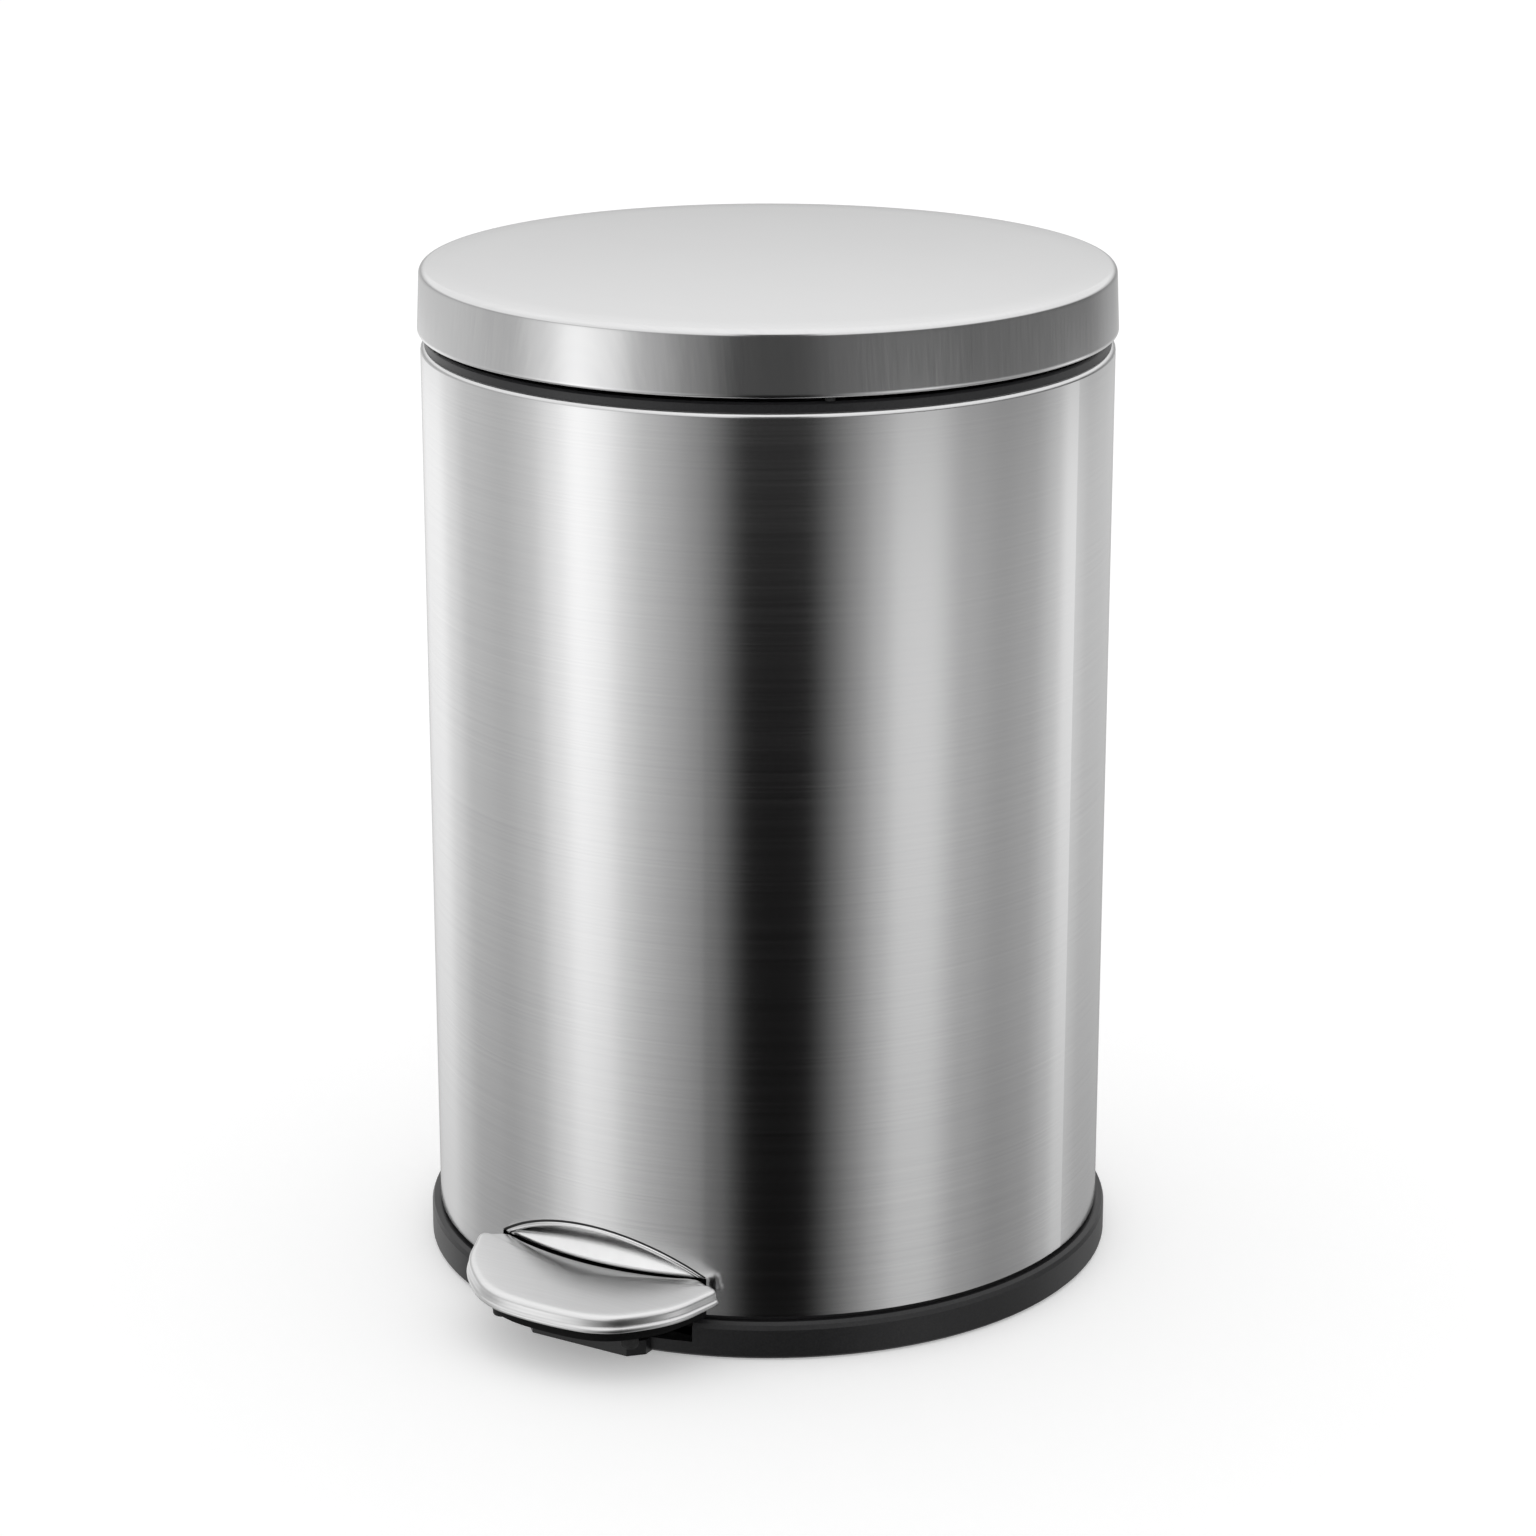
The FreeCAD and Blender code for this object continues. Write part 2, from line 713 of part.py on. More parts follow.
def hinge_arm():
    low = liner_bottom() - 1.3
    foot_back = hinge_y - 20
    foot_front = foot_back - 16
    foot_top = liner_underside()
    foot_low = foot_top - arm_foot_thickness
    outline = [
        (hinge_y, hinge_z + barrel_radius),
        (hinge_y - 12.2, low),
        (hinge_y - 12.2, low + 5),
        (hinge_y - 16, foot_low - 3),
        (foot_back, foot_low),
        (foot_front, foot_low),
        (foot_back - 8, foot_low - 6),
        (hinge_y - 20.5, low),
        (hinge_y - 18, hinge_z - 1),
        (hinge_y - 3, hinge_z - 3),
    ]
    arm = plate_across(outline, -arm_half_width, arm_half_width)
    foot = box(-arm_foot_half_width, arm_foot_half_width, foot_front, foot_back, foot_low, foot_top)
    barrel = crosswise(barrel_radius, -arm_half_width, arm_half_width, hinge_y, hinge_z)
    dy = (crank_pin_y - hinge_y) / crank_radius
    dz = (crank_pin_z - hinge_z) / crank_radius
    crank = []
    for along, across in ((0, 1), (crank_radius, 1), (crank_radius, -1), (0, -1)):
        crank.append((hinge_y + dy * along - dz * across * barrel_radius,
                      hinge_z + dz * along + dy * across * barrel_radius))
    crank = plate_across(crank, -arm_half_width, arm_half_width)
    tip = crosswise(barrel_radius, -arm_half_width, arm_half_width, crank_pin_y, crank_pin_z)
    arm = arm.fuse(foot).fuse(barrel).fuse(crank).fuse(tip).removeSplitter()
    clear = crosswise(12.0, -arm_slot_half_width, arm_slot_half_width, crank_pin_y, crank_pin_z)
    bore = crosswise(hinge_pin_radius + shaft_clearance, -20, 20, hinge_y, hinge_z)
    pin_hole = crosswise(pin_radius, -20, 20, crank_pin_y, crank_pin_z)
    arm = arm.cut(clear).cut(bore).cut(pin_hole)
    for x, y in arm_screw_places():
        arm = arm.cut(upright(1.8, foot_low - 1, foot_top + 1, x, y))
    return arm


def arm_screw_places():
    y = hinge_y - 28
    return ((arm_foot_half_width - 3.4, y), (-arm_foot_half_width + 3.4, y))


def lid_screws():
    screws = []
    foot_top = liner_underside()
    foot_low = foot_top - arm_foot_thickness
    for x, y in arm_screw_places():
        head = upright(3.0, foot_low - 2, foot_low, x, y)
        screws.append(head.fuse(upright(1.8, foot_low, foot_top, x, y)))
    return screws


def crank_pin():
    reach = arm_half_width + 0.6
    return crosswise(pin_radius, -reach, reach, crank_pin_y, crank_pin_z)


def hinge_bracket():
    width = hinge_plate_half_width
    low = body_top - hinge_plate_drop
    plate = box(-width, width, body_radius / 2, body_radius + hinge_plate, low, body_top)
    plate = plate.cut(upright(body_radius, low - 1, body_top + 1))
    notch = box(-opening_half_width, opening_half_width, 0, body_radius + 20, crank_pin_z, body_top + 1)
    plate = plate.cut(notch)
    outer = ear_inner + hinge_ear_wall
    reach = hinge_ear_radius
    ear = box(ear_inner, outer, body_radius, hinge_y, hinge_z - reach, hinge_z + reach)
    ear = ear.fuse(crosswise(reach, ear_inner, outer, hinge_y, hinge_z))
    bracket = plate.cut(box(-width, width, 0, body_radius - 5, low - 1, body_top + 1))
    for piece in both_sides(ear):
        bracket = bracket.fuse(piece)
    bore = crosswise(hinge_pin_radius + shaft_clearance, -30, 30, hinge_y, hinge_z)
    rims = upright(body_radius, low, body_top + 5)
    return bracket.cut(bore).cut(rims).removeSplitter()


def hinge_pin():
    reach = ear_inner + hinge_ear_wall + 0.8
    pin = crosswise(hinge_pin_radius, -reach, reach, hinge_y, hinge_z)
    return pin.fuse(crosswise(hinge_pin_radius + 1.2, reach, reach + 1.4, hinge_y, hinge_z))


def hinge_screws():
    low = body_top - hinge_plate_drop
    y = body_radius + hinge_plate
    screws = []
    for x in (-hinge_plate_half_width + 4.5, hinge_plate_half_width - 4.5):
        for z in (low + 4, low + 12):
            screws.append(Part.makeCylinder(2.8, 1.8, Vector(x, y, z), Y))
    return screws


def hinge_cover():
    top = lid_bottom - 1.4
    bottom = top - cover_height
    back = body_radius + cover_depth
    width = cover_half_width
    outside = box(-width, width, body_radius / 2, back, bottom, top)
    rounded = [e for e in outside.Edges if e.CenterOfMass.y > back - 0.1 or
               (abs(e.tangentAt(0).z) > 0.9 and e.CenterOfMass.y > body_radius)]
    outside = outside.makeFillet(cover_corner - 3, rounded)
    wall = cover_wall
    hollow = box(-width + wall, width - wall, 0, back - wall, bottom + wall, top - wall)
    slot = box(-arm_half_width - 1.4, arm_half_width + 1.4, 0, hinge_y + barrel_radius + 1.2,
               hinge_z, top + 1)
    seat = upright(body_radius, bottom - 1, top + 1)
    return outside.cut(hollow).cut(slot).cut(seat)


def save(name, shapes):
    if isinstance(shapes, list):
        shapes = Part.makeCompound(shapes)
    shapes.exportStep("parts/" + name + ".step")
    solids = shapes.Solids
    box_ = shapes.BoundBox
    print("%-18s solids %d  volume %9.1f  valid %s  z %.1f..%.1f" % (
        name, len(solids), sum(s.Volume for s in solids), shapes.isValid(), box_.ZMin, box_.ZMax))


makers = [
    body_shell, toe_recess, base_ring, anti_slip_ring, base_plate, base_screws,
    pedal_cover, pedal_core, pedal_pads, pedal_lever, pedal_screws,
    pedal_axle, axle_brackets, bracket_rivets, axle_clips,
    lift_rod, rod_foot_pin, rod_guides,
    damper_cylinder, damper_piston, damper_yoke, damper_clips,
    top_ring, inner_bucket, bail_handle, bail_grip,
    lid_shell, lid_liner, lid_bumpers, hinge_arm, lid_screws, crank_pin,
    hinge_bracket, hinge_pin, hinge_screws, hinge_cover,
]

os.makedirs("parts", exist_ok=True)
for maker in makers:
    save(maker.__name__, maker())

print("lid axis y %.3f z %.3f, pedal axis y %.3f z %.3f" % (hinge_y, hinge_z, axle_y, axle_height))
print("rod lift %.3f mm, pedal travel %.5f rad for lid travel %.5f rad" % (
    rod_lift, pedal_angle, math.radians(lid_angle)))
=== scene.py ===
import json
import math

import bmesh
import bpy
from mathutils import Matrix, Vector


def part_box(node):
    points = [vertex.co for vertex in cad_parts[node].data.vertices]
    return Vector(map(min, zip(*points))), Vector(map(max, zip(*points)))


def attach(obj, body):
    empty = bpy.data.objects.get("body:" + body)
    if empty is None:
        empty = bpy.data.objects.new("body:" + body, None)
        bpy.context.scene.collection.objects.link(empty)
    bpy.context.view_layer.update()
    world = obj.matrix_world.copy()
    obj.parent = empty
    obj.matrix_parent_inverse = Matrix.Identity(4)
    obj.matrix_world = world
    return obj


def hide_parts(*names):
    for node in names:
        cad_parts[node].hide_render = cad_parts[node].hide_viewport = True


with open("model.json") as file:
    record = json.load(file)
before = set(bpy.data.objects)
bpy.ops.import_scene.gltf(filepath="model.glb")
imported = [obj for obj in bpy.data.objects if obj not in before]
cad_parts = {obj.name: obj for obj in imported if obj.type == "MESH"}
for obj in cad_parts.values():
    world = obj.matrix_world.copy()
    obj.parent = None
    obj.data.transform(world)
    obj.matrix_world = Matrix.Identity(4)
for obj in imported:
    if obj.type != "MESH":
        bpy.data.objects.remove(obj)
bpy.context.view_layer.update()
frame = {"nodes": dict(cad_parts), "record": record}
nodes = frame["nodes"]
print("frame loaded:", len(nodes), "nodes")


def newMaterial(name):
    mat = bpy.data.materials.new(name)
    mat.use_nodes = True
    return mat, mat.node_tree, mat.node_tree.nodes["Principled BSDF"]


def link(tree, fromSocket, toSocket):
    tree.links.new(fromSocket, toSocket)


def objectCoords(tree, scale=(1, 1, 1)):
    coords = tree.nodes.new("ShaderNodeTexCoord")
    mapping = tree.nodes.new("ShaderNodeMapping")
    mapping.inputs["Scale"].default_value = scale
    link(tree, coords.outputs["Object"], mapping.inputs["Vector"])
    return mapping.outputs["Vector"]


def noise(tree, vector, scale, detail, rough):
    tex = tree.nodes.new("ShaderNodeTexNoise")
    tex.inputs["Scale"].default_value = scale
    tex.inputs["Detail"].default_value = detail
    tex.inputs["Roughness"].default_value = rough
    link(tree, vector, tex.inputs["Vector"])
    return tex.outputs["Fac"]


def remap(tree, value, low, high, toLow, toHigh):
    node = tree.nodes.new("ShaderNodeMapRange")
    for socket, number in zip(("From Min", "From Max", "To Min", "To Max"), (low, high, toLow, toHigh)):
        node.inputs[socket].default_value = number
    link(tree, value, node.inputs["Value"])
    return node.outputs["Result"]


def math2(tree, operation, a, b):
    node = tree.nodes.new("ShaderNodeMath")
    node.operation = operation
    for socket, value in zip(node.inputs, (a, b)):
        if isinstance(value, (int, float)):
            socket.default_value = value
        else:
            link(tree, value, socket)
    return node.outputs["Value"]


def mixColour(tree, factor, first, second):
    node = tree.nodes.new("ShaderNodeMix")
    node.data_type = "RGBA"
    link(tree, factor, node.inputs["Factor"])
    node.inputs[6].default_value = (*first, 1)
    node.inputs[7].default_value = (*second, 1)
    return node.outputs[2]


def bump(tree, height, strength, distance, shader):
    node = tree.nodes.new("ShaderNodeBump")
    node.inputs["Strength"].default_value = strength
    node.inputs["Distance"].default_value = distance
    link(tree, height, node.inputs["Height"])
    link(tree, node.outputs["Normal"], shader.inputs["Normal"])


# the part of a noise's range that a tint or a roughness runs over
tintBand = (0.35, 0.65)
glossBand = (0.3, 0.7)


def brushedSteel(name, look):
    # fine scratches along one direction: stretched noise tints the steel and changes its gloss
    mat, tree, shader = newMaterial(name)
    fine = noise(tree, objectCoords(tree, look["fineScale"]), 1.0, 2.0, 0.6)
    coarse = noise(tree, objectCoords(tree, look["coarseScale"]), 1.0, 3.0, 0.55)
    both = math2(tree, "ADD", math2(tree, "MULTIPLY", fine, 0.6), math2(tree, "MULTIPLY", coarse, 0.4))
    tint = mixColour(tree, remap(tree, both, *glossBand, 0.0, 1.0), look["dark"], look["light"])
    link(tree, tint, shader.inputs["Base Color"])
    spread = look["roughSpread"]
    rough = remap(tree, both, *glossBand, look["rough"] - spread, look["rough"] + spread)
    link(tree, rough, shader.inputs["Roughness"])
    shader.inputs["Metallic"].default_value = 1.0
    if "anisotropic" in look:
        shader.inputs["Anisotropic"].default_value = look["anisotropic"]
        shader.inputs["Anisotropic Rotation"].default_value = look["turn"]
        tangent = tree.nodes.new("ShaderNodeTangent")
        tangent.direction_type = "RADIAL"
        tangent.axis = look["tangentAxis"]
        link(tree, tangent.outputs["Tangent"], shader.inputs["Tangent"])
    bump(tree, fine, look["bump"], 0.0001, shader)
    return mat


bodySteelLook = {
    "fineScale": (9, 9, 1500), "coarseScale": (7, 7, 800), "dark": (0.715, 0.715, 0.72),
    "light": (0.785, 0.785, 0.785), "rough": 0.19, "roughSpread": 0.02, "anisotropic": 0.5, "turn": 0.25,
    "tangentAxis": "Z", "bump": 0.008,
}
lidSteelLook = {
    "fineScale": (30, 2600, 60), "coarseScale": (12, 900, 40), "dark": (0.735, 0.735, 0.74),
    "light": (0.785, 0.785, 0.785), "rough": 0.17, "roughSpread": 0.02, "bump": 0.03,
}
pedalSteelLook = {
    "fineScale": (60, 2200, 900), "coarseScale": (30, 800, 400), "dark": (0.77, 0.77, 0.77),
    "light": (0.82, 0.82, 0.82), "rough": 0.30, "roughSpread": 0.02, "bump": 0.02,
}
bodySteel = brushedSteel("bodySteel", bodySteelLook)
lidSteel = brushedSteel("lidSteel", lidSteelLook)
pedalSteel = brushedSteel("pedalSteel", pedalSteelLook)


def plainMetal(name, look):
    mat, tree, shader = newMaterial(name)
    cloud = noise(tree, objectCoords(tree), look["scale"], 4.0, 0.6)
    tint = mixColour(tree, remap(tree, cloud, *tintBand, 0.0, 1.0), look["dark"], look["light"])
    link(tree, tint, shader.inputs["Base Color"])
    rough = remap(tree, cloud, *glossBand, look["roughLow"], look["roughHigh"])
    link(tree, rough, shader.inputs["Roughness"])
    shader.inputs["Metallic"].default_value = 1.0
    bump(tree, cloud, look["bump"], 0.0002, shader)
    return mat


polishedSteel = plainMetal("polishedSteel", {
    "scale": 60, "dark": (0.78, 0.78, 0.78), "light": (0.86, 0.86, 0.86), "roughLow": 0.16,
    "roughHigh": 0.22, "bump": 0.01})
zincSteel = plainMetal("zincSteel", {
    "scale": 90, "dark": (0.42, 0.43, 0.45), "light": (0.60, 0.61, 0.63), "roughLow": 0.34,
    "roughHigh": 0.50, "bump": 0.10})
brightSteel = plainMetal("brightSteel", {
    "scale": 200, "dark": (0.60, 0.60, 0.61), "light": (0.70, 0.70, 0.71), "roughLow": 0.16,
    "roughHigh": 0.26, "bump": 0.04})


# slow patches of gloss on every moulding
plasticPatch = {"scale": 22, "roughSpread": 0.05}


def mouldedPlastic(name, look):
    # a fine spark-eroded grain
    mat, tree, shader = newMaterial(name)
    grain = noise(tree, objectCoords(tree), look["grain"], 3.0, 0.6)
    patch = noise(tree, objectCoords(tree), plasticPatch["scale"], 2.0, 0.5)
    tint = mixColour(tree, remap(tree, grain, *tintBand, 0.0, 1.0), look["dark"], look["light"])
    link(tree, tint, shader.inputs["Base Color"])
    spread = plasticPatch["roughSpread"]
    rough = remap(tree, patch, *glossBand, look["rough"] - spread, look["rough"] + spread)
    link(tree, rough, shader.inputs["Roughness"])
    shader.inputs["Specular IOR Level"].default_value = look.get("gloss", 0.5)
    bump(tree, grain, look["bump"], 0.0002, shader)
    return mat


blackPlastic = mouldedPlastic("blackPlastic", {
    "grain": 1400, "dark": (0.008, 0.008, 0.009), "light": (0.015, 0.015, 0.016), "rough": 0.40,
    "bump": 0.20})
# a darker copy of the black plastic: its colour is painted shade for the pedal's core, which sits in shadow
shadedCorePlastic = mouldedPlastic("shadedCorePlastic", {
    "grain": 1100, "dark": (0.002, 0.002, 0.002), "light": (0.005, 0.005, 0.005), "rough": 0.55,
    "gloss": 0.15, "bump": 0.25})
collarPlastic = mouldedPlastic("collarPlastic", {
    "grain": 1600, "dark": (0.014, 0.014, 0.015), "light": (0.023, 0.023, 0.025), "rough": 0.36,
    "bump": 0.15})
greyPlastic = mouldedPlastic("greyPlastic", {
    "grain": 1200, "dark": (0.20, 0.20, 0.21), "light": (0.26, 0.26, 0.27), "rough": 0.50, "bump": 0.2})
bucketPlastic = mouldedPlastic("bucketPlastic", {
    "grain": 900, "dark": (0.055, 0.056, 0.058), "light": (0.075, 0.076, 0.079), "rough": 0.42,
    "bump": 0.2})
blackEnamel = mouldedPlastic("blackEnamel", {
    "grain": 500, "dark": (0.012, 0.012, 0.012), "light": (0.019, 0.019, 0.020), "rough": 0.30,
    "bump": 0.10})
blackRubber = mouldedPlastic("blackRubber", {
    "grain": 800, "dark": (0.010, 0.010, 0.010), "light": (0.020, 0.020, 0.020), "rough": 0.72,
    "bump": 0.35})
print("materials made")

slotMaterials = {
    "brushed_steel_body": bodySteel, "brushed_steel_lid": lidSteel, "polished_steel": polishedSteel,
    "satin_steel_pedal": pedalSteel, "galvanised_steel": zincSteel, "black_painted_steel": blackEnamel,
    "bright_steel": brightSteel, "zinc_screws": brightSteel, "black_base_plastic": blackPlastic,
    "black_collar_plastic": collarPlastic, "grey_plastic": greyPlastic,
    "grey_bucket_plastic": bucketPlastic, "black_rubber": blackRubber,
}
for part in frame["record"]["subparts"]:
    materials = nodes[part["node"]].data.materials
    materials.clear()
    materials.append(slotMaterials[part["material_slot"]])
# the pedal's core gets a duller, darker copy of the base's black plastic; its darker colour is painted
# shade under the pedal
nodes["pedal_core"].data.materials[0] = shadedCorePlastic


def looseObject(bm, name):
    mesh = bpy.data.meshes.new(name)
    bm.to_mesh(mesh)
    bm.free()
    made = bpy.data.objects.new(name, mesh)
    bpy.context.scene.collection.objects.link(made)
    return made


def finishPiece(bm, name, body, slotName, replaced=(), sharp=35):
    bmesh.ops.remove_doubles(bm, verts=bm.verts, dist=0.000005)
    bmesh.ops.recalc_face_normals(bm, faces=bm.faces)
    piece = looseObject(bm, name)
    piece.data.shade_smooth()
    piece.data.set_sharp_from_angle(angle=math.radians(sharp))
    piece.data.materials.clear()
    piece.data.materials.append(slotMaterials[slotName])
    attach(piece, body)
    if replaced:
        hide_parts(*replaced)


def spinProfile(bm, profile, steps, closed=True):
    verts = [bm.verts.new((radius, 0, height)) for radius, height in profile]
    pairs = list(zip(verts, verts[1:] + verts[:1])) if closed else list(zip(verts, verts[1:]))
    edges = [bm.edges.new(pair) for pair in pairs]
    bmesh.ops.spin(bm, geom=verts + edges, cent=(0, 0, 0), axis=(0, 0, 1), angle=math.tau,
                   steps=steps, use_merge=True)


def arcPoints(centre, radius, start, end, count):
    turn = [math.radians(start + (end - start) * i / (count - 1)) for i in range(count)]
    return [(centre[0] + radius * math.cos(a), centre[1] + radius * math.sin(a)) for a in turn]


def addRod(bm, radius, depth, place, segments, edge):
    # an upright round bar with a bevelled rim at both ends
    made = bmesh.ops.create_cone(bm, cap_ends=True, segments=segments, radius1=radius, radius2=radius,
                                 depth=depth, matrix=Matrix.Translation(place))
    rims = {e for v in made["verts"] for e in v.link_edges
            if abs(e.verts[0].co.z - e.verts[1].co.z) < 1e-6}
    bmesh.ops.bevel(bm, geom=list(rims), offset=edge, segments=4, profile=0.5, affect="EDGES",
                    material=-1)


def addTorus(bm, major, minor, place):
    section = Matrix.Translation((major, 0, 0)) @ Matrix.Rotation(math.pi / 2, 4, "X")
    made = bmesh.ops.create_circle(bm, segments=10, radius=minor, matrix=section)
    loop = list({e for v in made["verts"] for e in v.link_edges})
    before = set(bm.verts) - set(made["verts"])
    bmesh.ops.spin(bm, geom=made["verts"] + loop, cent=(0, 0, 0), axis=(0, 0, 1), angle=math.tau,
                   steps=40, use_merge=True)
    bmesh.ops.transform(bm, matrix=place, verts=[v for v in bm.verts if v not in before])


def addBar(bm, size, place):
    bmesh.ops.create_cube(bm, size=1.0, matrix=place @ Matrix.Diagonal((*size, 1)))


def addTube(bm, points, radius):
    # a round wire through the points, made as a bevelled curve and turned into a mesh
    data = bpy.data.curves.new("wire", "CURVE")
    data.dimensions = "3D"
    data.bevel_depth = radius
    data.bevel_resolution = 4
    data.use_fill_caps = True
    spline = data.splines.new("POLY")
    spline.points.add(len(points) - 1)
    for point, co in zip(spline.points, points):
        point.co = (*co, 1)
    wire = bpy.data.objects.new("wire", data)
    mesh = bpy.data.meshes.new_from_object(wire)
    bm.from_mesh(mesh)
    bpy.data.objects.remove(wire)
    bpy.data.curves.remove(data)
    bpy.data.meshes.remove(mesh)


# the lid's steel cap: a low crown, a rounded edge, a skirt with a little draft and a rolled hem
# draftAngle is in degrees; the skirt has a loop at hold, a share of its height, from each end
lidCap = {"crown": 0.0009, "edge": 0.0024, "draft": 0.0009, "draftAngle": 2.4, "hold": 0.04,
          "wall": 0.00025, "hem": 0.0009}


def makeLidCap(look):
    low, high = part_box("lid_shell")
    radius, bottom, top = high.x, low.z, high.z
    shoulder = radius - look["draft"]
    flat = shoulder - look["edge"]
    rim = top - look["crown"]
    outside = [(flat * i / 12, top - look["crown"] * (i / 12) ** 2) for i in range(12)]
    outside += arcPoints((flat, rim - look["edge"]), look["edge"], 90, look["draftAngle"], 14)
    hem = (radius - look["hem"], bottom + look["hem"])
    hemArc = arcPoints(hem, look["hem"], look["draftAngle"], -180, 12)
    above, below = Vector(outside[-1]), Vector(hemArc[0])
    outside += [above.lerp(below, look["hold"]), above.lerp(below, 1 - look["hold"])] + hemArc
    wall = look["wall"]
    inside = [(shoulder - wall, rim - look["edge"])]
    inside += arcPoints((flat, rim - look["edge"]), look["edge"] - wall, look["draftAngle"], 90, 10)[1:]
    inside += [(0, top - wall)]
    bm = bmesh.new()
    spinProfile(bm, outside + inside, 256, closed=False)
    finishPiece(bm, "lidCap", "lid", "brushed_steel_lid", ["lid_shell"], 50)


makeLidCap(lidCap)

# the pedal's pressed plate. edge runs from the front's middle to the ear, as shares of the half width and
# the reach; ear is the ear's round back, as inset and set back; section runs from the skirt's rim up to
# the top, as inset and drop in millimetres
pedalPlate = {
    "halfWidth": 0.0512, "reach": 0.0352, "rearGap": 0.0007, "rearHalfWidth": 0.0410, "height": 0.0287,
    "slope": 0.10, "crown": 0.0007, "earBack": 0.0012,
    "ear": [(0.0, 0.0010), (0.0012, 0.0027), (0.0034, 0.0029)],
    "edge": [(0, 1.0), (0.20, 0.990), (0.385, 0.952), (0.55, 0.856), (0.69, 0.702), (0.82, 0.508),
             (0.90, 0.325), (0.955, 0.115), (0.995, -0.02)],
    "section": [(0.8, 4.8), (0.8, 5.9), (0.6, 6.15), (0.3, 6.2), (0.05, 5.9), (0.0, 5.4), (0.1, 4.9),
                (0.35, 4.5), (0.6, 4.2), (0.75, 3.6), (0.8, 2.8), (0.85, 2.0), (1.05, 1.3), (1.45, 0.7),
                (2.0, 0.32), (2.8, 0.08), (3.8, 0.0)],
}


def plateOutline(look, inset, bodyRadius):
    # right half from the front's middle to the back's middle, then its mirror image
    width = look["halfWidth"] - inset
    reach = look["reach"] - inset
    rear = bodyRadius + look["rearGap"] + inset * 0.15
    rearX = look["rearHalfWidth"] - inset * 0.4
    rearY = -math.sqrt(rear * rear - rearX * rearX)
    earY = -bodyRadius - inset * 0.3 + look["earBack"]
    half = [Vector((width * a, -bodyRadius - reach * b, 0)) for a, b in look["edge"]]
    half[-1].y = earY + look["ear"][0][1]
    half += [Vector((width - inwards, earY + back, 0)) for inwards, back in look["ear"][1:]]
    half.append(Vector((rearX, rearY, 0)))
    for share in (0.8, 0.6, 0.4, 0.2):
        half.append(Vector((rearX * share, -math.sqrt(rear * rear - (rearX * share) ** 2), 0)))
    half.append(Vector((0, -rear, 0)))
    mirrored = [Vector((-p.x, p.y, 0)) for p in reversed(half[1:-1])]
    return half + mirrored


def smoothLoop(points, between):
    # closed Catmull-Rom curve through the points
    count = len(points)
    curve = []
    for i in range(count):
        a, b, c, d = (points[(i + k) % count] for k in (-1, 0, 1, 2))
        for step in range(between):
            t = step / between
            curve.append(0.5 * (2 * b + (c - a) * t + (2 * a - 5 * b + 4 * c - d) * t * t
                                + (3 * b - a - 3 * c + d) * t ** 3))
    return curve


def addLoop(bm, points):
    verts = [bm.verts.new(p) for p in points]
    return [bm.edges.new(pair) for pair in zip(verts, verts[1:] + verts[:1])]


def makePedalPlate(look):
    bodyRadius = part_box("body_shell")[1].x
    bm = bmesh.new()
    loops = []
    for inset, drop in look["section"]:
        points = smoothLoop(plateOutline(look, inset / 1000, bodyRadius), 8)
        for p in points:
            p.z = look["height"] - drop / 1000 - look["slope"] * (-p.y - bodyRadius)
        loops.append(addLoop(bm, points))
    for lower, upper in zip(loops, loops[1:]):
        bmesh.ops.bridge_loops(bm, edges=lower + upper)
    top = bmesh.ops.contextual_create(bm, geom=loops[-1])["faces"]
    middle = bmesh.ops.poke(bm, faces=top)["verts"]
    bmesh.ops.translate(bm, verts=middle, vec=(0, 0, look["crown"]))
    finishPiece(bm, "pedalPlate", "pedal", "satin_steel_pedal", ["pedal_cover"], 60)


makePedalPlate(pedalPlate)

# a bright bead round the toe scoop, and a thin black rubber strip between it and the body's edge, painted
# shade for the shadow in the gap there
archTrim = {
    "halfWidth": 0.0432, "low": 0.0297, "high": 0.0434, "points": 60,
    "bead": {"radius": 0.0010, "inside": 0.0017, "depth": 0.0009},
    "gapShade": {"radius": 0.00065, "inside": 0.0003, "depth": 0.0006},
}


def archLine(look, wire):
    rise = look["high"] - look["low"]
    radius = (look["halfWidth"] ** 2 + rise ** 2) / (2 * rise)
    centre = look["high"] - radius
    radius -= wire["inside"]
    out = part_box("body_shell")[1].x - wire["depth"]
    reach = math.sqrt(radius ** 2 - (look["low"] - centre) ** 2)
    line = []
    for i in range(look["points"] + 1):
        x = -reach + 2 * reach * i / look["points"]
        line.append((x, -math.sqrt(out * out - x * x), centre + math.sqrt(radius * radius - x * x)))
    return line


def makeArchTrim(look):
    # the black strip stands in for the gap's shadow: painted shade
    for name, wire, slotName in (("archBead", look["bead"], "polished_steel"),
                                 ("archShadeStrip", look["gapShade"], "black_rubber")):
        bm = bmesh.new()
        addTube(bm, archLine(look, wire), wire["radius"])
        finishPiece(bm, name, "bin", slotName)


makeArchTrim(archTrim)

# rubber feet under the pedal, rounded at the bottom
padFeet = {"radius": 0.0033, "edge": 0.0011}


def makePadFeet(look):
    low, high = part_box("pedal_pads")
    bm = bmesh.new()
    middle = (low + high) / 2
    for side in (-1, 1):
        place = (side * (high.x - look["radius"]), middle.y, middle.z)
        addRod(bm, look["radius"], high.z - low.z, place, 40, look["edge"])
    finishPiece(bm, "padFeet", "pedal", "black_rubber", ["pedal_pads"])


makePadFeet(padFeet)

# finger ridges on the bail's grip
gripRidges = {"radius": 0.1065, "grip": 0.0045, "ridge": 0.0005, "sunk": 0.0002, "halfAngle": 13.0,
              "count": 14}


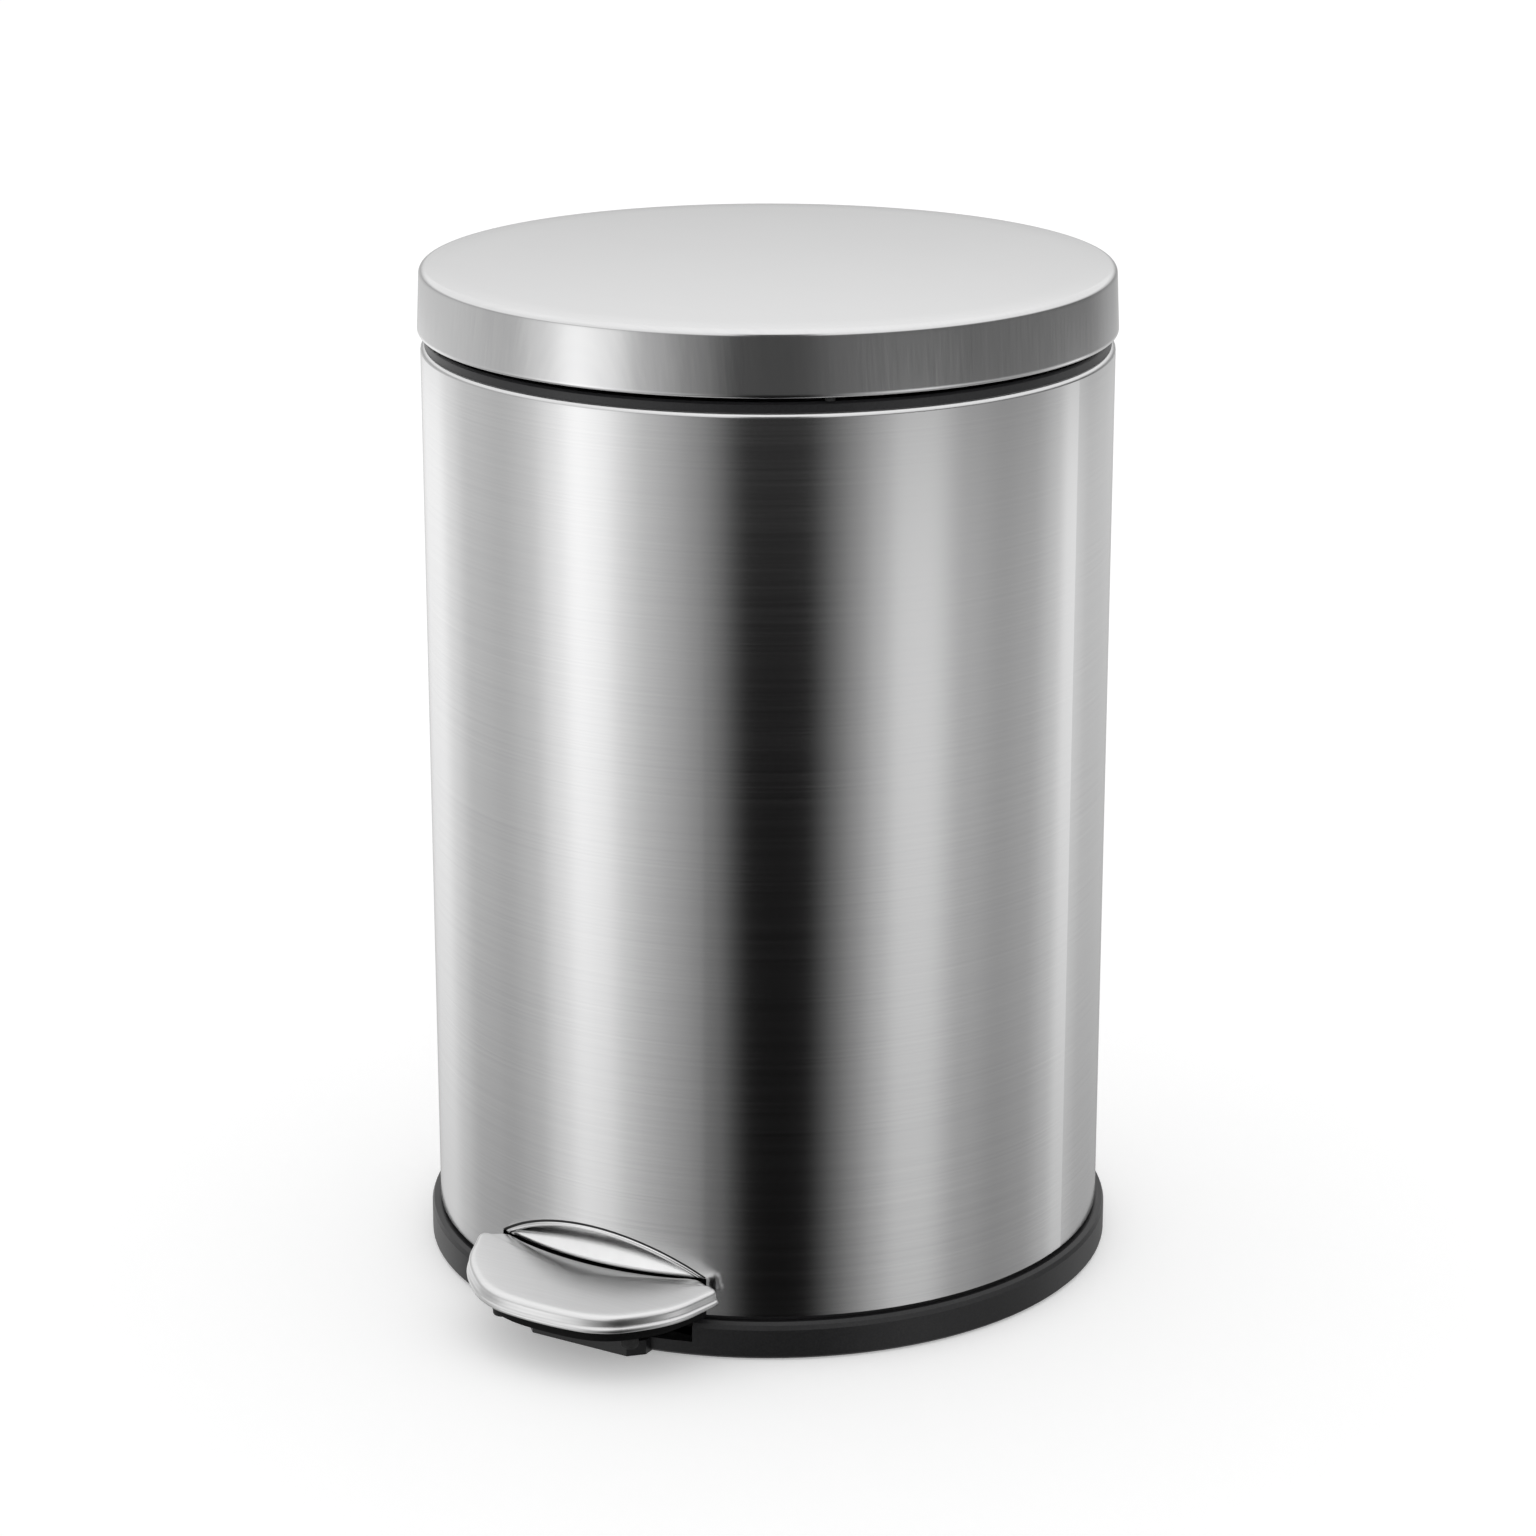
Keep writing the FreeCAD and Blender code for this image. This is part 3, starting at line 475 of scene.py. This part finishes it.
def makeGripRidges(look):
    low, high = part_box("bail_grip")
    bm = bmesh.new()
    for i in range(look["count"]):
        angle = -90 - look["halfAngle"] + 2 * look["halfAngle"] * i / (look["count"] - 1)
        place = (Matrix.Rotation(math.radians(angle), 4, "Z") @ Matrix.Translation((look["radius"], 0, 0))
                 @ Matrix.Rotation(math.pi / 2, 4, "X"))
        place = Matrix.Translation((0, 0, (low.z + high.z) / 2)) @ place
        addTorus(bm, look["grip"] - look["sunk"], look["ridge"], place)
    finishPiece(bm, "gripRidges", "bail", "black_base_plastic")


makeGripRidges(gripRidges)

# stiffening ribs inside the lid's liner
linerRibs = {"under": 0.3691, "deep": 0.0022, "sunk": 0.0002, "thick": 0.0014, "inner": 0.042,
             "outer": 0.112, "count": 12, "firstAngle": 15}


def makeLinerRibs(look):
    bm = bmesh.new()
    middle = (look["inner"] + look["outer"]) / 2
    height = look["under"] - look["deep"] / 2 + look["sunk"]
    for i in range(look["count"]):
        turn = Matrix.Rotation(math.radians(look["firstAngle"] + 360 * i / look["count"]), 4, "Z")
        addBar(bm, (look["outer"] - look["inner"], look["thick"], look["deep"]),
               turn @ Matrix.Translation((middle, 0, height)))
    low = look["under"] - look["deep"]
    half = look["thick"] / 2
    spinProfile(bm, [(look["inner"] - half, look["under"]), (look["inner"] - half, low),
                     (look["inner"] + half, low), (look["inner"] + half, look["under"])], 96)
    finishPiece(bm, "linerRibs", "lid", "black_collar_plastic")


makeLinerRibs(linerRibs)

# the two screws that hold the hinge arm to the liner, with a round socket in each head
armScrews = {"radius": 0.0030, "head": 0.0020, "socket": 0.0013, "depth": 0.0011, "edge": 0.0004}


def makeArmScrews(look):
    low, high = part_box("lid_screws")
    bm = bmesh.new()
    for side in (-1, 1):
        place = (side * (high.x - look["radius"]), (low.y + high.y) / 2, low.z + look["head"] / 2)
        addRod(bm, look["radius"], look["head"], place, 36, look["edge"])
    under = [f for f in bm.faces if f.normal.z < -0.99 and f.calc_center_median().z < low.z + 1e-5]
    bmesh.ops.inset_region(bm, faces=under, thickness=look["radius"] - look["edge"] - look["socket"])
    sunk = bmesh.ops.extrude_face_region(bm, geom=under)["geom"]
    sunk = [g for g in sunk if isinstance(g, bmesh.types.BMVert)]
    bmesh.ops.translate(bm, verts=sunk, vec=(0, 0, look["depth"]))
    bmesh.ops.delete(bm, geom=under, context="FACES")
    finishPiece(bm, "armScrews", "lid", "zinc_screws", ["lid_screws"])


makeArmScrews(armScrews)

# pressed beads and rivet tails on the base plate's underside
plateBeads = {
    "rings": (0.045, 0.078), "halfWidth": 0.0022, "deep": 0.0011, "sunk": 0.0002,
    "tail": {"radius": 0.0022, "height": 0.0012, "sunk": 0.0005, "edge": 0.0005},
    "tailPlaces": ((0.0225, -0.065), (0.0225, -0.075), (-0.0225, -0.065), (-0.0225, -0.075)),
}


def makePlateBeads(look):
    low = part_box("base_plate")[0].z
    bm = bmesh.new()
    root, crest = low + look["sunk"], low - look["deep"]
    half = look["halfWidth"]
    for radius in look["rings"]:
        spinProfile(bm, [(radius - half, root), (radius - half * 0.5, crest),
                         (radius + half * 0.5, crest), (radius + half, root)], 160)
    finishPiece(bm, "plateBeads", "bin", "black_painted_steel")
    bm = bmesh.new()
    tail = look["tail"]
    for x, y in look["tailPlaces"]:
        addRod(bm, tail["radius"], tail["height"], (x, y, low - tail["sunk"]), 28, tail["edge"])
    finishPiece(bm, "rivetTails", "bin", "zinc_screws")


makePlateBeads(plateBeads)

# the hinge's plastic cover, with shallow slots moulded across its back
hingeHood = {"slots": 7, "pitch": 0.0032, "height": 0.0009, "depth": 0.0008, "halfWidth": 0.017}


def makeHingeHood(look):
    low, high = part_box("hinge_cover")
    bm = bmesh.new()
    for i in range(look["slots"]):
        height = (low.z + high.z) / 2 + (i - (look["slots"] - 1) / 2) * look["pitch"]
        addBar(bm, (2 * look["halfWidth"], 2 * look["depth"], look["height"]),
               Matrix.Translation((0, high.y, height)))
    slots = looseObject(bm, "hoodSlots")
    bm = bmesh.new()
    bm.from_mesh(nodes["hinge_cover"].data)
    bmesh.ops.remove_doubles(bm, verts=bm.verts, dist=0.000001)
    cover = looseObject(bm, "hoodBlank")
    cut = cover.modifiers.new("slots", "BOOLEAN")
    cut.operation = "DIFFERENCE"
    cut.object = slots
    done = bpy.data.meshes.new_from_object(cover.evaluated_get(bpy.context.evaluated_depsgraph_get()))
    bm = bmesh.new()
    bm.from_mesh(done)
    for spare in (cover, slots):
        bpy.data.objects.remove(spare)
    finishPiece(bm, "hingeHood", "bin", "black_collar_plastic", ["hinge_cover"], 30)


makeHingeHood(hingeHood)

# a web low in the base under the pedal's neck, with rounded edges
footWeb = {"halfWidth": 0.0395, "front": -0.118, "back": -0.102, "low": 0.0044, "high": 0.0060,
           "edge": 0.0004}


def makeFootWeb(look):
    bm = bmesh.new()
    size = Vector((2 * look["halfWidth"], look["back"] - look["front"], look["high"] - look["low"]))
    place = Vector((0, (look["back"] + look["front"]) / 2, (look["high"] + look["low"]) / 2))
    addBar(bm, size, Matrix.Translation(place))
    bmesh.ops.bevel(bm, geom=bm.edges[:], offset=look["edge"], segments=3, profile=0.5, affect="EDGES",
                    material=-1)
    finishPiece(bm, "footWeb", "bin", "black_base_plastic")


makeFootWeb(footWeb)

# the weld line down the back of the rolled body
weldLine = {"width": 0.0012, "thick": 0.0004, "proud": 0.00006, "edge": 0.00015, "low": 0.0165,
            "high": 0.3105}


def makeWeldLine(look):
    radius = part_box("body_shell")[1].x
    bm = bmesh.new()
    height = look["high"] - look["low"]
    middle = radius + look["proud"] - look["thick"] / 2
    addBar(bm, (look["width"], look["thick"], height),
           Matrix.Translation((0, middle, look["low"] + height / 2)))
    edges = [e for e in bm.edges if abs(e.verts[0].co.z - e.verts[1].co.z) > height / 2]
    bmesh.ops.bevel(bm, geom=edges, offset=look["edge"], segments=3, profile=0.5, affect="EDGES",
                    material=-1)
    finishPiece(bm, "weldLine", "bin", "brushed_steel_body")


makeWeldLine(weldLine)

# rings moulded into the bucket's tapered wall and its floor
bucketRings = {
    "wallHeights": (0.300, 0.310), "wallHalf": 0.0010, "wallSunk": 0.0003,
    "rimRadius": 0.1015, "rimHeight": 0.337, "taper": 0.006, "taperHeight": 0.280,
    "floorRadii": (0.030, 0.062), "floorHalf": 0.0014, "floorSunk": 0.0002, "floorThick": 0.0015,
    "proud": 0.0007,
}


def makeBucketRings(look):
    bm = bmesh.new()
    half = look["wallHalf"]
    for height in look["wallHeights"]:
        wall = look["rimRadius"] - look["taper"] * (look["rimHeight"] - height) / look["taperHeight"]
        root, crest = wall + look["wallSunk"], wall - look["proud"]
        spinProfile(bm, [(root, height - half), (crest, height - half * 0.4),
                         (crest, height + half * 0.4), (root, height + half)], 160)
    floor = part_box("inner_bucket")[0].z + look["floorThick"]
    root, crest = floor - look["floorSunk"], floor + look["proud"]
    half = look["floorHalf"]
    for radius in look["floorRadii"]:
        spinProfile(bm, [(radius - half, root), (radius - half / 2, crest),
                         (radius + half / 2, crest), (radius + half, root)], 120)
    finishPiece(bm, "bucketRings", "bucket", "grey_bucket_plastic")


makeBucketRings(bucketRings)
print("pieces made")

# brightness of the light tent round the bin: angle from the camera's side, positive to its right
bodyPanels = [
    (-180, 0.45), (-151, 0.96), (-139, 1.03), (-128, 0.82), (-115, 0.60), (-97, 0.52), (-84, 0.64),
    (-73, 0.96), (-64, 1.24), (-55, 1.10), (-47, 0.78), (-39, 0.60), (-31, 0.47), (-23, 0.33), (-16, 0.18),
    (-11, 0.06), (-7, 0.003), (13, 0.003), (17, 0.06), (22, 0.17), (28, 0.33), (36, 0.58), (44, 0.84),
    (53, 0.86), (68, 0.52), (83, 0.41), (96, 0.46), (108, 0.66), (118, 1.0), (130, 0.60), (155, 0.58),
    (180, 0.45),
]
# the same for the band just over it, which the lid's skirt mirrors
skirtPanels = [
    (-180, 0.56), (-150, 0.58), (-120, 0.58), (-90, 0.48), (-76, 0.74), (-63, 1.16), (-52, 0.96),
    (-38, 0.46), (-22, 0.22), (-10, 0.07), (8, 0.07), (24, 0.12), (60, 0.11), (90, 0.14), (120, 0.155),
    (150, 0.36), (180, 0.56),
]
# level against height, as a share of the tent's radius: a gain on the panels, then the ceiling's own level
panelGain = [(-0.70, 0.55), (-0.43, 0.62), (-0.29, 0.94), (-0.13, 1.16), (0.0, 1.0)]
ceilingLevel = [(0.0, 0.12), (0.10, 0.18), (0.17, 0.50), (0.22, 0.64), (0.27, 0.77), (0.34, 1.0),
                (0.45, 0.95), (0.60, 0.98), (0.78, 1.06), (1.0, 1.08)]
# where the levels hand over, as shares of the tent's radius, and the dark card's angle and edges in degrees
tentEdges = {"skirt": (-0.125, -0.085), "ceiling": (0.06, 0.18), "card": 3, "cardSide": (9, 15),
             "cardTop": (0.45, 0.60)}
stage = {
    "azimuth": 30.3, "distance": 1.50, "height": 0.646, "pitch": 17.23, "focal": 99.0,
    "tentRadius": 4.0, "floorRadius": 9.0, "floorColour": (0.86, 0.86, 0.86), "floorGlow": 0.30,
    "worldLevel": 0.85,
}


def azimuthDirection(degrees):
    a = math.radians(degrees)
    return Vector((math.sin(a), -math.cos(a), 0))


def makeCamera():
    data = bpy.data.cameras.new("camera")
    data.lens = stage["focal"]
    data.sensor_width = 36
    camera = bpy.data.objects.new("camera", data)
    bpy.context.scene.collection.objects.link(camera)
    away = azimuthDirection(stage["azimuth"]) * stage["distance"]
    camera.location = away + Vector((0, 0, stage["height"]))
    camera.rotation_euler = (math.radians(90 - stage["pitch"]), 0, math.radians(stage["azimuth"]))
    bpy.context.scene.camera = camera


def makeFloor():
    bm = bmesh.new()
    bmesh.ops.create_circle(bm, cap_ends=True, radius=stage["floorRadius"], segments=96)
    mesh = bpy.data.meshes.new("floor")
    bm.to_mesh(mesh)
    bm.free()
    floor = bpy.data.objects.new("floor", mesh)
    bpy.context.scene.collection.objects.link(floor)
    mat, tree, shader = newMaterial("floorPaper")
    shader.inputs["Base Color"].default_value = (*stage["floorColour"], 1)
    shader.inputs["Roughness"].default_value = 0.9
    shader.inputs["Emission Color"].default_value = (1, 1, 1, 1)
    # seen from below, the floor isn't there
    side = tree.nodes.new("ShaderNodeNewGeometry")
    clear = tree.nodes.new("ShaderNodeBsdfTransparent")
    mix = tree.nodes.new("ShaderNodeMixShader")
    link(tree, side.outputs["Backfacing"], mix.inputs["Fac"])
    link(tree, shader.outputs["BSDF"], mix.inputs[1])
    link(tree, clear.outputs["BSDF"], mix.inputs[2])
    link(tree, mix.outputs["Shader"], tree.nodes["Material Output"].inputs["Surface"])
    path = tree.nodes.new("ShaderNodeLightPath")
    seen = math2(tree, "ADD", path.outputs["Is Camera Ray"], path.outputs["Is Glossy Ray"])
    seen = math2(tree, "ADD", seen, path.outputs["Is Transmission Ray"])
    link(tree, math2(tree, "MULTIPLY", seen, stage["floorGlow"]), shader.inputs["Emission Strength"])
    mesh.materials.append(mat)
    floor.visible_glossy = False


def levelRamp(tree, value, low, high, stops, interpolation="EASE"):
    ramp = tree.nodes.new("ShaderNodeValToRGB")
    ramp.color_ramp.interpolation = interpolation
    link(tree, remap(tree, value, low, high, 0.0, 1.0), ramp.inputs["Fac"])
    elements = ramp.color_ramp.elements
    for index, (place, level) in enumerate(stops):
        share = (place - low) / (high - low)
        element = elements[index] if index < 2 else elements.new(share)
        element.position = share
        element.color = (level / 2, level / 2, level / 2, 1)
    return math2(tree, "MULTIPLY", ramp.outputs["Color"], 2.0)


def blend(tree, factor, first, second):
    mix = tree.nodes.new("ShaderNodeMix")
    for socket, value in zip(mix.inputs[:1] + mix.inputs[2:4], (factor, first, second)):
        link(tree, value, socket)
    return mix.outputs[0]


def makeTent():
    # the soft panels and the dark card that the steel mirrors; the camera and the floor don't see them
    bm = bmesh.new()
    bmesh.ops.create_uvsphere(bm, u_segments=64, v_segments=32, radius=stage["tentRadius"])
    mesh = bpy.data.meshes.new("tent")
    bm.to_mesh(mesh)
    bm.free()
    tent = bpy.data.objects.new("tent", mesh)
    bpy.context.scene.collection.objects.link(tent)
    mat = bpy.data.materials.new("tentPanels")
    mat.use_nodes = True
    tree = mat.node_tree
    tree.nodes.clear()
    coords = tree.nodes.new("ShaderNodeTexCoord")
    split = tree.nodes.new("ShaderNodeSeparateXYZ")
    link(tree, coords.outputs["Object"], split.inputs["Vector"])
    flatX, flatY, up = split.outputs
    # turns the angle so that zero points at the camera's side
    a = math.radians(stage["azimuth"])
    right = math2(tree, "ADD", math2(tree, "MULTIPLY", flatX, math.cos(a)),
                  math2(tree, "MULTIPLY", flatY, math.sin(a)))
    towards = math2(tree, "SUBTRACT", math2(tree, "MULTIPLY", flatX, math.sin(a)),
                    math2(tree, "MULTIPLY", flatY, math.cos(a)))
    degrees = math2(tree, "MULTIPLY", math2(tree, "ARCTAN2", right, towards), math.degrees(1))
    share = math2(tree, "DIVIDE", up, stage["tentRadius"])
    panels = levelRamp(tree, degrees, -180, 180, bodyPanels)
    skirt = levelRamp(tree, degrees, -180, 180, skirtPanels)
    panels = blend(tree, remap(tree, share, *tentEdges["skirt"], 0.0, 1.0), panels, skirt)
    panels = math2(tree, "MULTIPLY", panels, levelRamp(tree, share, -1, 1, panelGain, "LINEAR"))
    ceiling = levelRamp(tree, share, -1, 1, ceilingLevel, "LINEAR")
    # the dark card stands up past the ceiling's edge
    offCard = math2(tree, "ABSOLUTE", math2(tree, "SUBTRACT", degrees, tentEdges["card"]), 0)
    overCard = math2(tree, "MAXIMUM", remap(tree, offCard, *tentEdges["cardSide"], 0.0, 1.0),
                     remap(tree, share, *tentEdges["cardTop"], 0.0, 1.0))
    intoCeiling = remap(tree, share, *tentEdges["ceiling"], 0.0, 1.0)
    overhead = math2(tree, "MULTIPLY", intoCeiling, overCard)
    level = blend(tree, overhead, panels, ceiling)
    glow = tree.nodes.new("ShaderNodeEmission")
    link(tree, level, glow.inputs["Strength"])
    out = tree.nodes.new("ShaderNodeOutputMaterial")
    link(tree, glow.outputs["Emission"], out.inputs["Surface"])
    mesh.materials.append(mat)
    tent.visible_camera = False
    tent.visible_diffuse = False
    tent.visible_shadow = False
    tent.visible_volume_scatter = False


def makeWorld():
    world = bpy.data.worlds.new("studio")
    world.use_nodes = True
    bpy.context.scene.world = world
    tree = world.node_tree
    background = tree.nodes["Background"]
    background.inputs["Color"].default_value = (1, 1, 1, 1)
    path = tree.nodes.new("ShaderNodeLightPath")
    seen = math2(tree, "MAXIMUM", path.outputs["Is Camera Ray"], path.outputs["Is Glossy Ray"])
    seen = math2(tree, "MAXIMUM", seen, path.outputs["Is Transmission Ray"])
    strength = remap(tree, seen, 0.0, 1.0, stage["worldLevel"], 1.0)
    link(tree, strength, background.inputs["Strength"])


makeCamera()
makeFloor()
makeTent()
makeWorld()
bpy.context.scene.view_settings.view_transform = "Standard"
print("stage set")
